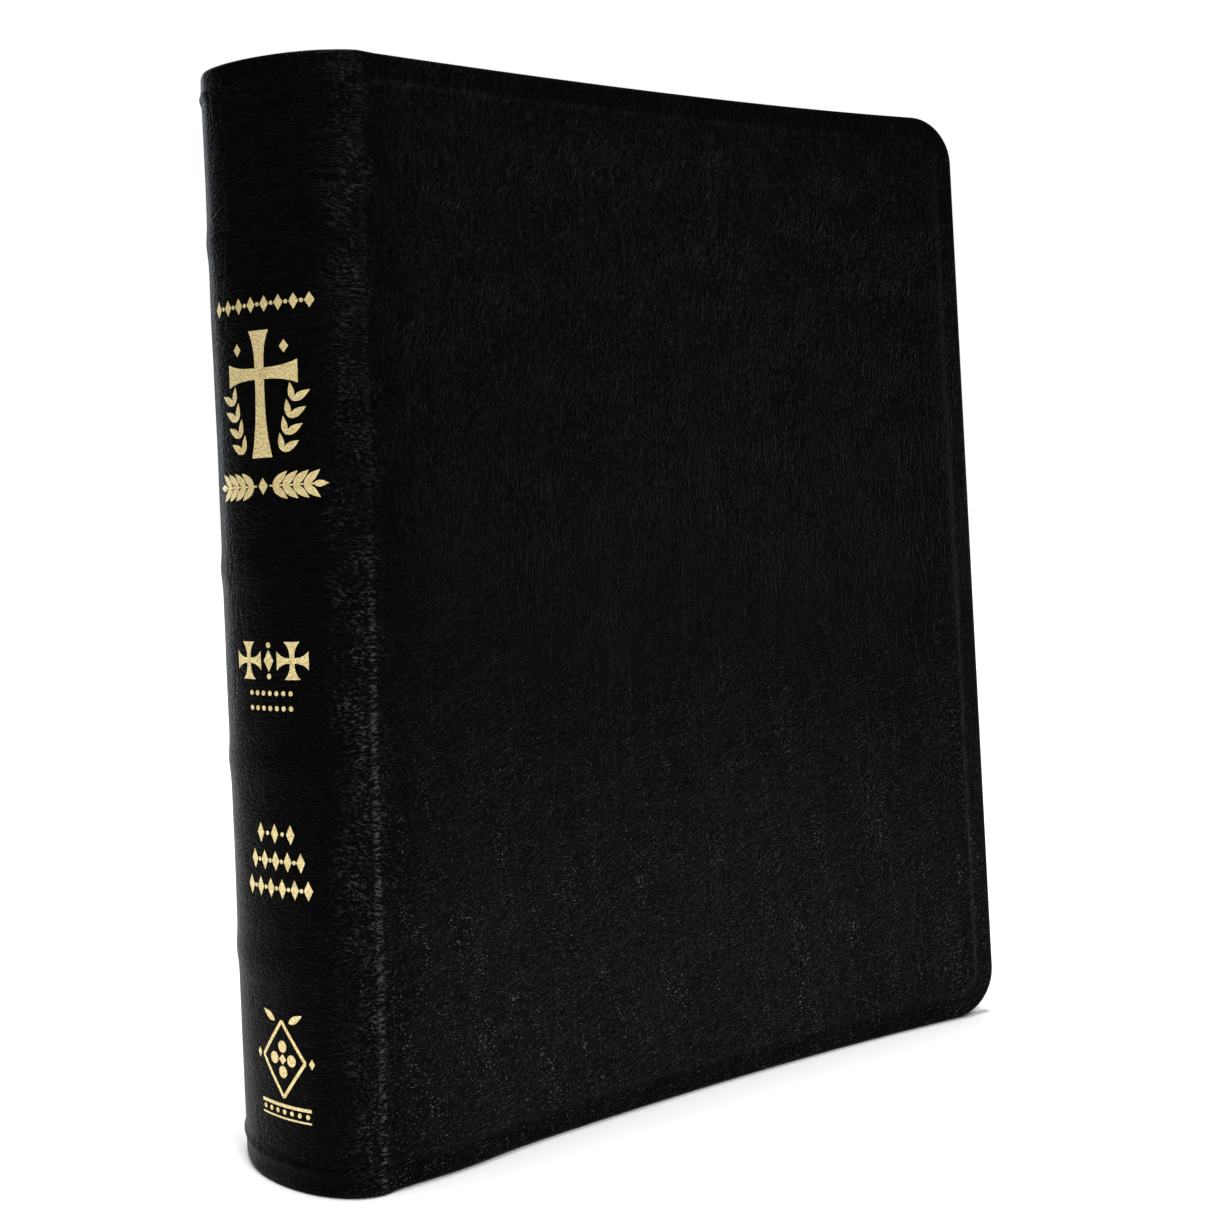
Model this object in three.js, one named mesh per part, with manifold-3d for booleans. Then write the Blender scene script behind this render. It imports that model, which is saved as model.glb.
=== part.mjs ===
// A thick study Bible in a limp leather case, standing upright on its tail.
// Millimetres. +X runs from the spine to the fore-edge, -Y is the front cover, +Z is up.
// The origin is the middle of the footprint, on the surface that the book stands on.
import * as THREE from 'three';
import { mergeVertices } from 'three/addons/utils/BufferGeometryUtils.js';
import Module from 'manifold-3d';

const wasm = await Module();
wasm.setup();

// ---- driving dimensions ----
const HEIGHT = 240; // head to tail of the case
const COVER_WIDTH = 176; // joint to fore-edge
const SPINE_BULGE = 22; // how far the rounded spine stands out behind the joints
const JOINT_HALF = 28.5; // half the thickness across the two joints, the widest place
const FORE_EDGE_HALF = 23; // half the thickness across the covers at the fore-edge
const COVER_DRAW_IN = [112, 14.5]; // a cover bends towards this place and half thickness
const CORNER_RADIUS = 12; // rounded fore-edge corners of the covers
const GAP = 0.3; // clearance between pieces that lie against each other
const SQUARE = 4; // how far the case overhangs the pages at head and tail

// Layers of a cover, as depths in from its outer face
const LEATHER = 1.0;
const BOARD_TOP = LEATHER + GAP;
const BOARD_BOTTOM = BOARD_TOP + 0.9;
const TURN_IN_TOP = BOARD_BOTTOM + GAP;
const TURN_IN_BOTTOM = TURN_IN_TOP + 0.6;
const PASTEDOWN_TOP = TURN_IN_BOTTOM + GAP;
const PASTEDOWN_BOTTOM = PASTEDOWN_TOP + 0.3;

// Layers of the spine, as depths in from its outer face
const SPINE_LEATHER = 1.2;
const HUB_TOP = SPINE_LEATHER + GAP;
const HUB_BOTTOM = HUB_TOP + 0.8;
const INLAY_TOP = HUB_BOTTOM + GAP;
const INLAY_BOTTOM = INLAY_TOP + 0.8;
const SPINE_TURN_IN_TOP = INLAY_BOTTOM + GAP;
const SPINE_TURN_IN_BOTTOM = SPINE_TURN_IN_TOP + 0.8;
const HOLLOW_TOP = SPINE_TURN_IN_BOTTOM + GAP;
const HOLLOW_BOTTOM = HOLLOW_TOP + 0.4;
const MULL_TOP = HOLLOW_BOTTOM + GAP;
const MULL_BOTTOM = MULL_TOP + 0.5;
const SEWN_BACK_TOP = MULL_BOTTOM + GAP;

// Insets of the cover's layers from its head, tail and fore-edge
const BOARD_INSET = 7; // the soft rim of folded leather round the board
const BOARD_HINGE_GAP = 8; // bare leather between the joint and the board
const WINDOW_INSET = 17; // how far the leather is turned in over the board
const PASTEDOWN_INSET = 4.5;
const BOARD_RADIUS = 8.5;
const WINDOW_RADIUS = 6;
const SPINE_TURN_IN_LENGTH = 12;

// Text block
const GUTTER_X = 1.5; // the line that every leaf turns on
const PAGE_FORE_EDGE_X = COVER_WIDTH - 5;
const BACK_HALF = 22; // half the thickness of the pages at the spine
const PAGE_DRAW_IN = [55, 12.4]; // the outermost page bends towards this place and half thickness
const PAGE_FORE_HALF = 15.8; // half the thickness of the pages at the fore-edge
const SECTIONS_PER_HALF = 8;
const FORE_EDGE_HOLLOW = 7; // depth of the hollow that the rounded back gives the fore-edge
const PAGE_CORNER_RADIUS = 10;
const LEAF_THICKNESS = 0.3;
const LEAF_START = 2.2; // bare hinge strip between the fold line and the stiff part of a flyleaf
const COVER_OPENING = THREE.MathUtils.degToRad(175); // full swing of a cover
const FLYLEAF_SHARE = 0.5; // the flyleaf's share of its cover's swing
const FAN_STEP = (COVER_OPENING * FLYLEAF_SHARE) / (SECTIONS_PER_HALF + 1);
const RELIEF_SHARE = 0.85; // how much of the room between two fanned sections is used at the gutter

const HUB_WIDTH = 6;
const HUB_HEIGHTS = [46.5, 89, 131, 203]; // centres of the raised bands above the tail
const BAND_RADIUS = 1.2; // sewn headbands
const CURVE_STEPS = 12; // straight steps along a cover or page curve
const CORNER_STEPS = 5; // straight steps round a corner
const SPINE_STEPS = 28; // straight steps round the spine
const BAND_STEPS = 36; // along a headband
const BAND_SIDES = 6; // straight steps round a quarter of a headband
const SAME_POINT = 1e-4; // corners closer than this are one corner
const NEARLY_STRAIGHT = 1e-9;
const OVERCUT = 2; // how far a cutting shape runs past what it cuts

// Moves the joint line so that the origin is the middle of the footprint.
const JOINT_X = (SPINE_BULGE - COVER_WIDTH) / 2;

const FINISHES = {
  leather: { color: 0x111112, roughness: 0.5, metalness: 0 },
  card: { color: 0x8a8278, roughness: 0.9, metalness: 0 },
  cloth: { color: 0xd8d2c2, roughness: 0.95, metalness: 0 },
  endpaper: { color: 0x1b1b1d, roughness: 0.85, metalness: 0 },
  paper: { color: 0xe9dfc4, roughness: 0.8, metalness: 0 },
  headband: { color: 0xb8933f, roughness: 0.7, metalness: 0 },
};

// ---- solids ----

/** A closed geometry as a solid that can be joined and cut. */
function toSolid(geometry) {
  const bare = geometry.clone();
  bare.deleteAttribute('normal');
  bare.deleteAttribute('uv');
  const merged = mergeVertices(bare, SAME_POINT);
  return new wasm.Manifold(new wasm.Mesh({
    numProp: 3,
    vertProperties: new Float32Array(merged.attributes.position.array),
    triVerts: new Uint32Array(merged.index.array),
  }));
}

/** A joined or cut solid as a three.js geometry. */
function toGeometry(solid) {
  const { vertProperties, triVerts } = solid.getMesh();
  const geometry = new THREE.BufferGeometry();
  geometry.setAttribute('position', new THREE.BufferAttribute(vertProperties, 3));
  geometry.setIndex(new THREE.BufferAttribute(triVerts, 1));
  geometry.computeVertexNormals();
  return geometry;
}

/** An outline seen from above, stood up between two heights. */
function planPrism(points, zLow, zHigh) {
  const shape = new THREE.Shape(points.map(([x, y]) => new THREE.Vector2(x, y)));
  const geometry = new THREE.ExtrudeGeometry(shape, { depth: zHigh - zLow, bevelEnabled: false });
  return geometry.translate(0, 0, zLow);
}

/** A panel seen from the front, with rounded fore-edge corners, running through the whole book in Y. */
function panelPrism({ xStart, xEnd, inset, radius }) {
  const low = inset;
  const high = HEIGHT - inset;
  const shape = new THREE.Shape();
  shape.moveTo(xStart, low);
  shape.lineTo(xEnd - radius, low);
  shape.absarc(xEnd - radius, low + radius, radius, -Math.PI / 2, 0, false);
  shape.absarc(xEnd - radius, high - radius, radius, 0, Math.PI / 2, false);
  shape.lineTo(xStart, high);
  const depth = 2 * (JOINT_HALF + OVERCUT);
  const options = { depth, bevelEnabled: false, curveSegments: CORNER_STEPS };
  return new THREE.ExtrudeGeometry(shape, options).rotateX(Math.PI / 2).translate(0, depth / 2, 0);
}

// ---- curves in plan ----

/** The height of a three-point curve at x, for a curve whose points run from left to right. */
function curveAt(x, [start, control, end]) {
  const a = start[0] - 2 * control[0] + end[0];
  const b = 2 * (control[0] - start[0]);
  const c = start[0] - x;
  const root = Math.sqrt(Math.max(0, b * b - 4 * a * c));
  const t = Math.abs(a) < NEARLY_STRAIGHT ? -c / b : (-b + root) / (2 * a);
  return (1 - t) ** 2 * start[1] + 2 * t * (1 - t) * control[1] + t * t * end[1];
}

/** Half the book's thickness at x: full at the joints, drawn in over the pages, wider at the fore-edge. */
function coverHalf(x) {
  return curveAt(x, [[0, JOINT_HALF], COVER_DRAW_IN, [COVER_WIDTH, FORE_EDGE_HALF]]);
}

/** Half the text block's thickness at x: swollen by its sewing at the back, thinnest over the leaves. */
function blockHalf(x) {
  return curveAt(x, [[GUTTER_X, BACK_HALF], PAGE_DRAW_IN, [PAGE_FORE_EDGE_X, PAGE_FORE_HALF]]);
}

/** Evenly spaced values from start to end. */
function spread(start, end, steps) {
  return Array.from({ length: steps + 1 }, (_, i) => start + ((end - start) * i) / steps);
}

/** A layer of a cover between two depths, as an outline in plan that a panel then cuts to length. */
function coverLayer(side, top, bottom) {
  const xs = [-OVERCUT, ...spread(0, COVER_WIDTH, CURVE_STEPS), COVER_WIDTH + OVERCUT];
  const outer = xs.map((x) => [x, side * (coverHalf(x) - top)]);
  const inner = xs.map((x) => [x, side * (coverHalf(x) - bottom)]);
  return [...outer, ...inner.reverse()];
}

/** The places along the pages where their curve is sampled, from start to end. */
function pageSteps(start, end) {
  const between = spread(GUTTER_X, PAGE_FORE_EDGE_X, CURVE_STEPS).filter((x) => x > start && x < end);
  return [start, ...between, end];
}

/** The rounded spine at a given depth, as points from the front joint to the back one. */
function spineArc(depth, xEnd) {
  const reach = SPINE_BULGE - depth;
  const half = JOINT_HALF - depth;
  const limit = Math.acos(Math.max(-1, -xEnd / reach));
  return spread(-limit, limit, SPINE_STEPS).map((a) => [-reach * Math.cos(a), half * Math.sin(a)]);
}

/** A layer of the spine between two depths, as an outline in plan. */
function spineLayer(top, bottom, xEnd = -GAP) {
  return [...spineArc(top, xEnd), ...spineArc(bottom, xEnd).reverse()];
}

// ---- the case ----

/** A layer of one cover, cut to a panel. */
function coverPiece(side, top, bottom, panel) {
  return toSolid(planPrism(coverLayer(side, top, bottom), -OVERCUT, HEIGHT + OVERCUT))
    .intersect(toSolid(panelPrism(panel)));
}

/** Leather over one cover, turned in over the board at head, tail and fore-edge. */
function coverLeather(side) {
  const skin = coverPiece(side, 0, TURN_IN_BOTTOM, {
    xStart: 0, xEnd: COVER_WIDTH, inset: 0, radius: CORNER_RADIUS,
  });
  const pocket = coverPiece(side, LEATHER, TURN_IN_TOP, {
    xStart: -OVERCUT, xEnd: COVER_WIDTH - BOARD_INSET + GAP, inset: BOARD_INSET - GAP, radius: BOARD_RADIUS,
  });
  const window = coverPiece(side, BOARD_TOP, TURN_IN_BOTTOM + OVERCUT, {
    xStart: -OVERCUT, xEnd: COVER_WIDTH - WINDOW_INSET, inset: WINDOW_INSET, radius: WINDOW_RADIUS,
  });
  return toGeometry(skin.subtract(pocket).subtract(window));
}

/** The flexible board that makes the raised panel of one cover. */
function coverBoard(side) {
  return toGeometry(coverPiece(side, BOARD_TOP, BOARD_BOTTOM, {
    xStart: BOARD_HINGE_GAP, xEnd: COVER_WIDTH - BOARD_INSET, inset: BOARD_INSET, radius: BOARD_RADIUS,
  }));
}

/** The endpaper pasted inside one cover. */
function pastedown(side) {
  return toGeometry(coverPiece(side, PASTEDOWN_TOP, PASTEDOWN_BOTTOM, {
    xStart: LEAF_START,
    xEnd: COVER_WIDTH - PASTEDOWN_INSET,
    inset: PASTEDOWN_INSET,
    radius: PAGE_CORNER_RADIUS,
  }));
}

/** Leather over the spine, turned in round the inlay at head and tail. */
function spineLeather() {
  const full = toSolid(planPrism(spineLayer(0, SPINE_TURN_IN_BOTTOM), 0, HEIGHT));
  const channel = toSolid(planPrism(
    spineLayer(SPINE_LEATHER, SPINE_TURN_IN_TOP, OVERCUT), SPINE_LEATHER, HEIGHT - SPINE_LEATHER,
  ));
  const inside = toSolid(planPrism(
    spineLayer(HUB_TOP, SPINE_TURN_IN_BOTTOM + OVERCUT, OVERCUT),
    SPINE_TURN_IN_LENGTH,
    HEIGHT - SPINE_TURN_IN_LENGTH,
  ));
  return toGeometry(full.subtract(channel).subtract(inside));
}

/** The card strip that stiffens the spine. */
function spineInlay() {
  const clear = SPINE_LEATHER + GAP;
  return planPrism(spineLayer(INLAY_TOP, INLAY_BOTTOM), clear, HEIGHT - clear);
}

/** One raised band: a card strip under the leather, across the spine. */
function spineHub(height) {
  return planPrism(spineLayer(HUB_TOP, HUB_BOTTOM), height - HUB_WIDTH / 2, height + HUB_WIDTH / 2);
}

// ---- the text block ----

/** Height range of the pages, as [low, high]. */
const PAGE_SPAN = [SQUARE, HEIGHT - SQUARE];

/** The folds of all the sections, sewn, glued and rounded: the part of the pages that never turns. */
function sewnBack() {
  const arc = spineArc(SEWN_BACK_TOP, 0);
  const straight = GUTTER_X - GAP;
  const [front, back] = [arc[0], arc[arc.length - 1]];
  return planPrism([[straight, front[1]], ...arc, [straight, back[1]]], ...PAGE_SPAN);
}

/** A sewn band at the head or tail of the back of the pages, at a given height. */
function endBand(z) {
  const depth = SEWN_BACK_TOP + BAND_RADIUS + GAP;
  const path = new THREE.CatmullRomCurve3(
    spineArc(depth, 0).map(([x, y]) => new THREE.Vector3(x, y, z)),
  );
  const section = new THREE.Shape().absarc(0, 0, BAND_RADIUS, 0, 2 * Math.PI, false);
  return new THREE.ExtrudeGeometry(section, {
    steps: BAND_STEPS,
    curveSegments: BAND_SIDES,
    extrudePath: path,
  });
}

/** A loose endpaper lying on the pages. */
function flyleaf(side) {
  const xs = pageSteps(GUTTER_X + LEAF_START, PAGE_FORE_EDGE_X);
  const low = xs.map((x) => [x, side * (blockHalf(x) + GAP)]);
  const high = xs.map((x) => [x, side * (blockHalf(x) + GAP + LEAF_THICKNESS)]);
  return cutPages([...low, ...high.reverse()]);
}

/** An outline in plan cut to the height, corners and fore-edge of the pages. */
function cutPages(outline) {
  const [inset] = PAGE_SPAN;
  const panel = panelPrism({
    xStart: -SPINE_BULGE,
    xEnd: PAGE_FORE_EDGE_X,
    inset,
    radius: PAGE_CORNER_RADIUS,
  });
  return toGeometry(toSolid(planPrism(outline, 0, HEIGHT)).intersect(toSolid(panel)));
}

/** Where the pages end at the fore-edge, at a share of the way from the middle of the book to a cover. */
function foreEdgeX(share) {
  return PAGE_FORE_EDGE_X - FORE_EDGE_HOLLOW * (1 - share * share);
}

/**
 * One section of pages. Number 1 is next to the cover and the last is at the middle of the book.
 * It turns on its outer corner at the gutter. Its inner corner there is cut back, so that fanned
 * sections clear each other.
 */
function pageSection(side, number) {
  const outerShare = (SECTIONS_PER_HALF + 1 - number) / SECTIONS_PER_HALF;
  const innerShare = (SECTIONS_PER_HALF - number) / SECTIONS_PER_HALF;
  const neighbourTurn = FAN_STEP * (SECTIONS_PER_HALF - number);
  const pitch = BACK_HALF / SECTIONS_PER_HALF;
  const rootDepth = pitch * Math.cos(neighbourTurn) * RELIEF_SHARE;
  const reliefSlope = Math.tan(FAN_STEP) * RELIEF_SHARE;
  const innerY = (x) => {
    const full = blockHalf(x) * innerShare + GAP / 2;
    const relieved = blockHalf(x) * outerShare - rootDepth - (x - GUTTER_X) * reliefSlope;
    return Math.max(full, relieved);
  };
  const reliefEnd = GUTTER_X + (pitch - rootDepth) / reliefSlope;
  const outer = pageSteps(GUTTER_X, foreEdgeX(outerShare))
    .map((x) => [x, side * (blockHalf(x) * outerShare - GAP / 2)]);
  const inner = [GUTTER_X, ...pageSteps(reliefEnd, foreEdgeX(innerShare))]
    .map((x) => [x, side * innerY(x)]);
  return cutPages([...outer, ...inner.reverse()]);
}

// ---- assembly ----

const bible = new THREE.Group();
bible.name = 'bible';
const book = new THREE.Group();
book.position.x = JOINT_X;
bible.add(book);

function add(name, geometry, finish) {
  const mesh = new THREE.Mesh(geometry, new THREE.MeshStandardMaterial(FINISHES[finish]));
  mesh.name = name;
  book.add(mesh);
}

add('spine_leather', spineLeather(), 'leather');
add('spine_inlay', spineInlay(), 'card');
HUB_HEIGHTS.forEach((height, i) => add(`raised_band_${i + 1}`, spineHub(height), 'card'));
add('hollow_tube', planPrism(spineLayer(HOLLOW_TOP, HOLLOW_BOTTOM), ...PAGE_SPAN), 'card');
add('mull_cloth', planPrism(spineLayer(MULL_TOP, MULL_BOTTOM), ...PAGE_SPAN), 'cloth');
add('sewn_back', sewnBack(), 'paper');
add('head_band', endBand(PAGE_SPAN[1] + BAND_RADIUS + GAP), 'headband');
add('tail_band', endBand(PAGE_SPAN[0] - BAND_RADIUS - GAP), 'headband');

for (const [half, side] of [['front', -1], ['back', 1]]) {
  add(`${half}_cover_leather`, coverLeather(side), 'leather');
  add(`${half}_board`, coverBoard(side), 'card');
  add(`${half}_pastedown`, pastedown(side), 'endpaper');
  add(`${half}_flyleaf`, flyleaf(side), 'endpaper');
  for (let number = 1; number <= SECTIONS_PER_HALF; number += 1) {
    add(`${half}_section_${number}`, pageSection(side, number), 'paper');
  }
}

export default bible;
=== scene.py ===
"""The looks of a thick study Bible in a limp black leather case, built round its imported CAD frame.

Everything is in metres, in the CAD frame: +X runs from the spine to the fore-edge, -Y out of the front cover
and +Z up. Patterns in the materials are in millimetres.
"""
import math
import random

import bmesh
import bpy
import numpy as np
from mathutils import Matrix, Vector, noise


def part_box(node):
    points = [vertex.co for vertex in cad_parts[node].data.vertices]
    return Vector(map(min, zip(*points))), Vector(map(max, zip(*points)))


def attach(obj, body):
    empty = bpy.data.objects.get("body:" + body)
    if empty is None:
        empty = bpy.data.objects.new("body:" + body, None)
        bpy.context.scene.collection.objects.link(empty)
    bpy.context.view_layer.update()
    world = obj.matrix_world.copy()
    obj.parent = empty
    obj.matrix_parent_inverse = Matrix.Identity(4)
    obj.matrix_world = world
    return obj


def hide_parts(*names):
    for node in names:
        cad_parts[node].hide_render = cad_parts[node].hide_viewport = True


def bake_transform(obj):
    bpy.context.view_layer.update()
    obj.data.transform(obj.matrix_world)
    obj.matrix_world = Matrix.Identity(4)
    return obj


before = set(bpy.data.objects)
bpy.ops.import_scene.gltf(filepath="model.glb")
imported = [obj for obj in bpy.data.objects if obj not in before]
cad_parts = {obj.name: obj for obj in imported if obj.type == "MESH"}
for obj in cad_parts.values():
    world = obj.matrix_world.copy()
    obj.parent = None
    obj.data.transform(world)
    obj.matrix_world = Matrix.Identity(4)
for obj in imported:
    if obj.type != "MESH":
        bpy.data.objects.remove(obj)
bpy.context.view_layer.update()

MM = 0.001

# ---- places and sizes read from the frame ----
cover_low, cover_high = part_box("front_cover_leather")
spine_low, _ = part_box("spine_leather")
page_low, page_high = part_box("front_section_1")
_, back_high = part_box("sewn_back")
JOINT_X = cover_low.x
FORE_X = cover_high.x
HEIGHT = cover_high.z
JOINT_HALF = -cover_low.y
SPINE_TIP = spine_low.x
GUTTER_X = page_low.x
FOLDS_X = back_high.x  # the inner face of the sewn folds, where the leaves begin
PAGE_FORE_X = page_high.x
PAGE_LOW, PAGE_HIGH = page_low.z, page_high.z
PAGE_BACK_HALF = -page_low.y
SECTIONS = sum(name.startswith("front_section_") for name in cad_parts)
BANDS = sum(name.startswith("raised_band_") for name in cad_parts)
BAND_HEIGHTS = [sum(corner.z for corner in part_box(f"raised_band_{i}")) / 2 for i in range(1, BANDS + 1)]

# ---- the case's shape ----
COVER_CONTROL = (112 * MM, 14.5 * MM)  # the point that draws the cover in over the pages
FORE_EDGE_HALF = 23 * MM
CORNER_RADIUS = 12 * MM
COVER_DEPTH = 3.1 * MM  # leather, board and turn-in together
SPINE_DEPTH = 1.2 * MM
LIP_DEPTH = 2.3 * MM  # leather folded round the inlay at head and tail
LIP_LENGTH = 11 * MM
LIP_END = 1.2 * MM  # over which the lip thins to one skin
RIDGE_HEAD = 1.9 * MM  # where the soft ridge of the joint runs, from the joint line, at the head
RIDGE_TAIL = -5.0 * MM  # and at the tail
SECTION_HEAD = 1.6  # how rounded the spine is in plan: 2 is an ellipse, less is more pointed
SECTION_TAIL = 1.85
LEDGE_INSET = 6.4 * MM  # the board's edge showing through the leather
LEDGE_WIDTH = 2.0 * MM
LEDGE_STEP = 0.8 * MM
EDGE_ROUND = 1.05 * MM
CURL_REACH = 9 * MM
CURL_DEPTH = 0.5 * MM
BAND_RISE = 0.35 * MM
BAND_SPREAD = 3.1 * MM
BAND_CARD = (1.25 * MM, 1.6 * MM)  # the two faces of a raised band's card, in from the leather's face
SPINE_CARD = (1.7 * MM, 2.2 * MM)
CARD_STATIONS = np.linspace(1.08, 2.92, 50)  # round the spine, from just inside one joint to the other
CARD_STEP = 8 * MM
CARD_GAP = 2 * MM  # between the lips at head and tail and the card's ends
TAIL_FLARE = 1.6 * MM  # how far the covers lean out at the tail's fore-edge corner
JOINT_SWELL = 1.2 * MM  # the fullness of a cover next to its joint, at the tail
JOINT_SWELL_MIDDLE = 14 * MM  # from the joint line
JOINT_SWELL_SPREAD = 12 * MM
TURN_IN_INSET = 5.2 * MM  # the turned-in leather's inner edge, from the head or tail of the spine
TURN_IN_SPREAD = 0.9 * MM
TURN_IN_RISE = 0.45 * MM
SWELL_DEPTH = 0.14 * MM  # the leather's unevenness
PUCKER_DEPTH = 0.04 * MM
GATHER_DEPTH = 0.16 * MM  # along the joint
SLACK_FADE = 3 * MM  # the leather is drawn tight this near a cut edge

# ---- how finely the case is drawn ----
# From a cut edge, in millimetres: close together where the edge rounds over and at the board's ledge.
EDGE_STEPS = (0, 0.15, 0.4, 0.8, 1.4, 2.2, 3.2, 4.4, 5.2, 5.8, 6.4, 7.0, 7.8, 9.5, 11.5)
COVER_STEP = 1.5 * MM
HEIGHT_STEP = 1.4 * MM
SPINE_STEPS = 80  # from joint to joint
BACK_LAP = 8  # how many of them belong to the back cover's leather

# ---- the pages ----
PAGE_CONTROL = (55 * MM, 12.4 * MM)
PAGE_FORE_HALF = 15.8 * MM
FORE_EDGE_HOLLOW = 7 * MM
PAGE_CORNER = 10 * MM
BUNDLES = 8  # groups of leaves that show as separate layers in one section
SLIT = 0.02 * MM  # the hair's breadth between two bundles
UNEVEN_FORE = (-0.12 * MM, 0.05 * MM)  # how far a bundle may stand out or back at the fore-edge
UNEVEN_END = 0.1 * MM  # and at head and tail
BEND_STEPS = 12  # places along a leaf: over its bend, over its flat part and round a corner
FLAT_STEPS = 9
CORNER_STEPS = 6
FLYLEAF_LAYERS = (0.3 * MM, 0.6 * MM)  # the flyleaf's two faces, out from the pages
LINING_LAYERS = (3.4 * MM, 3.7 * MM)  # the cover lining's two faces, in from the cover's outer face
LINING_INSET = 4.5 * MM
LINING_CLEARANCE = 0.1 * MM  # over the flyleaf, at the fold
LINING_STRIP = 6 * MM  # how wide its hinge strip is

# ---- how far from the fold a leaf is drawn in fine steps ----
PAGE_BEND = 14 * MM
SHARP_ANGLE = math.radians(50)
NEARLY_ZERO = 1e-9
TINY_AREA = 1e-12
TOUCHING = 1e-5  # millimetres

# ---- gold foil ----
FOIL_CELL = 1.0  # millimetres: the foil is cut into cells this wide, so that it follows the round spine
FOIL_RISE = 0.05 * MM  # over the leather
FOIL_ROOT = 0.25 * MM  # into the leather
TOOLING_MIDDLE = 24 * MM  # round the spine from the front joint
DISC_SIDES = 20

# ---- headbands ----
SILK_STEPS = 260  # along a headband
SILK_SIDES = 14
THREAD_PITCH = 0.55 * MM
THREAD_RELIEF = 0.07  # as a share of the headband's radius
STRIPE_PITCH = 3.2  # millimetres from one black stripe to the next

# ---- patterns on a page, in millimetres ----
LINE_PITCH = 3.1
PRINT_MIDDLE = 86.0  # of the two columns, from the fold
COLUMN_MIDDLE = 37.0  # of one column, from the middle of the two
COLUMN_HALF = 31.0
PRINT_HALF_HEIGHT = 98.0
PRINT_EDGE = 0.6  # how soft the ends of the lines are
LINE_SHIFT = 7.3  # how far one line's dashes lie from the next line's in the pattern
INK_STRENGTH = 0.72

# ---- threads, in radians of a wave for each millimetre ----
SEWING = 0.42
WEAVE = 5.2

# ---- colours ----
# the leather's colour from the grain's hollows to its crests: partly its own grain, partly painted shade in
# the hollows and painted light on the crests
LEATHER_DARK = (0.0012, 0.0012, 0.0014, 1)
LEATHER_LIGHT = (0.0072, 0.0070, 0.0068, 1)
# the colour of the painted glints on the grain's tops
LEATHER_GLINT = (0.095, 0.092, 0.088, 1)
FOIL_DULL = (0.72, 0.54, 0.21, 1)
FOIL_BRIGHT = (1.0, 0.86, 0.46, 1)
FOIL_WORN = (0.24, 0.17, 0.07, 1)
GILT_DARK = (0.22, 0.115, 0.022, 1)
GILT_LIGHT = (0.58, 0.36, 0.095, 1)
FOLD_SHADED = (0.60, 0.53, 0.40, 1)
SEWING_THREAD = (0.82, 0.80, 0.74, 1)
PAPER_DARK = (0.80, 0.74, 0.60, 1)
PAPER_LIGHT = (0.88, 0.83, 0.70, 1)
INK = (0.09, 0.08, 0.075, 1)
ENDPAPER_DARK = (0.012, 0.012, 0.013, 1)
ENDPAPER_LIGHT = (0.026, 0.025, 0.026, 1)
CARD_DARK = (0.17, 0.155, 0.135, 1)
CARD_LIGHT = (0.30, 0.28, 0.245, 1)
MUSLIN_DARK = (0.42, 0.38, 0.30, 1)
MUSLIN_LIGHT = (0.66, 0.62, 0.52, 1)
SILK_DARK = (0.50, 0.33, 0.08, 1)
SILK_LIGHT = (0.74, 0.54, 0.18, 1)
SILK_BLACK = (0.012, 0.011, 0.011, 1)
FLOOR_PALE = (0.92, 0.92, 0.92, 1)

# ---- the camera ----
CAMERA_PLACE = (-0.2202, -0.3508, 0.1442)
CAMERA_AZIMUTH = math.radians(32.15)  # from +Y towards +X
CAMERA_PITCH = math.radians(-0.28)
CAMERA_ROLL = math.radians(-2.79)
CAMERA_LENS = 48.9
CAMERA_SHIFT = -0.0915

FLOOR_HALF = 6.0
FLOOR_GAP = 0.2 * MM
AMBIENT = 0.07  # the white surroundings' strength, for everything but the camera

SPINE = "spine"
HALVES = (("front", -1), ("back", 1))


# ---- small tools ----

def smooth(value):
    """A soft step from 0 to 1."""
    t = np.clip(value, 0.0, 1.0)
    return t * t * (3 - 2 * t)


def bezier_height(x, start, control, end):
    """The height at x of a three-point curve whose points run from left to right."""
    a = start[0] - 2 * control[0] + end[0]
    b = 2 * (control[0] - start[0])
    c = start[0] - x
    t = (-b + np.sqrt(np.maximum(0, b * b - 4 * a * c))) / (2 * a)
    return (1 - t) ** 2 * start[1] + 2 * t * (1 - t) * control[1] + t * t * end[1]


def cover_half(x):
    """Half the thickness across the covers at x."""
    end = (FORE_X - JOINT_X, FORE_EDGE_HALF)
    return bezier_height(x - JOINT_X, (0, JOINT_HALF), COVER_CONTROL, end)


def page_half(x):
    """Half the thickness of the pages at x."""
    start = (GUTTER_X - JOINT_X, PAGE_BACK_HALF)
    end = (PAGE_FORE_X - JOINT_X, PAGE_FORE_HALF)
    return bezier_height(np.maximum(x - JOINT_X, start[0]), start, PAGE_CONTROL, end)


def fractal(x, y, z):
    """Smooth repeatable noise between about -1 and 1 at one point, in three octaves."""
    return noise.fractal(Vector((x, y, z)), 1.0, 2.0, 3)


def add_object(name, data):
    """An object in the scene that shows a mesh, a light or a camera."""
    made = bpy.data.objects.new(name, data)
    bpy.context.scene.collection.objects.link(made)
    return made


def add_mesh(name, points, faces, materials, material_of_face=None, corner_uvs=None):
    """A smooth-shaded object; corner_uvs lists one place on the surface for each corner of each face."""
    mesh = bpy.data.meshes.new(name)
    mesh.from_pydata([tuple(p) for p in points], [], faces)
    for material in materials:
        mesh.materials.append(material)
    if material_of_face is not None:
        mesh.polygons.foreach_set("material_index", material_of_face)
    if corner_uvs is not None:
        layer = mesh.uv_layers.new(name="surface")
        layer.data.foreach_set("uv", np.asarray(corner_uvs, np.float32).ravel())
    mesh.polygons.foreach_set("use_smooth", [True] * len(mesh.polygons))
    mesh.set_sharp_from_angle(angle=SHARP_ANGLE)
    mesh.update()
    return add_object(name, mesh)


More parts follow.
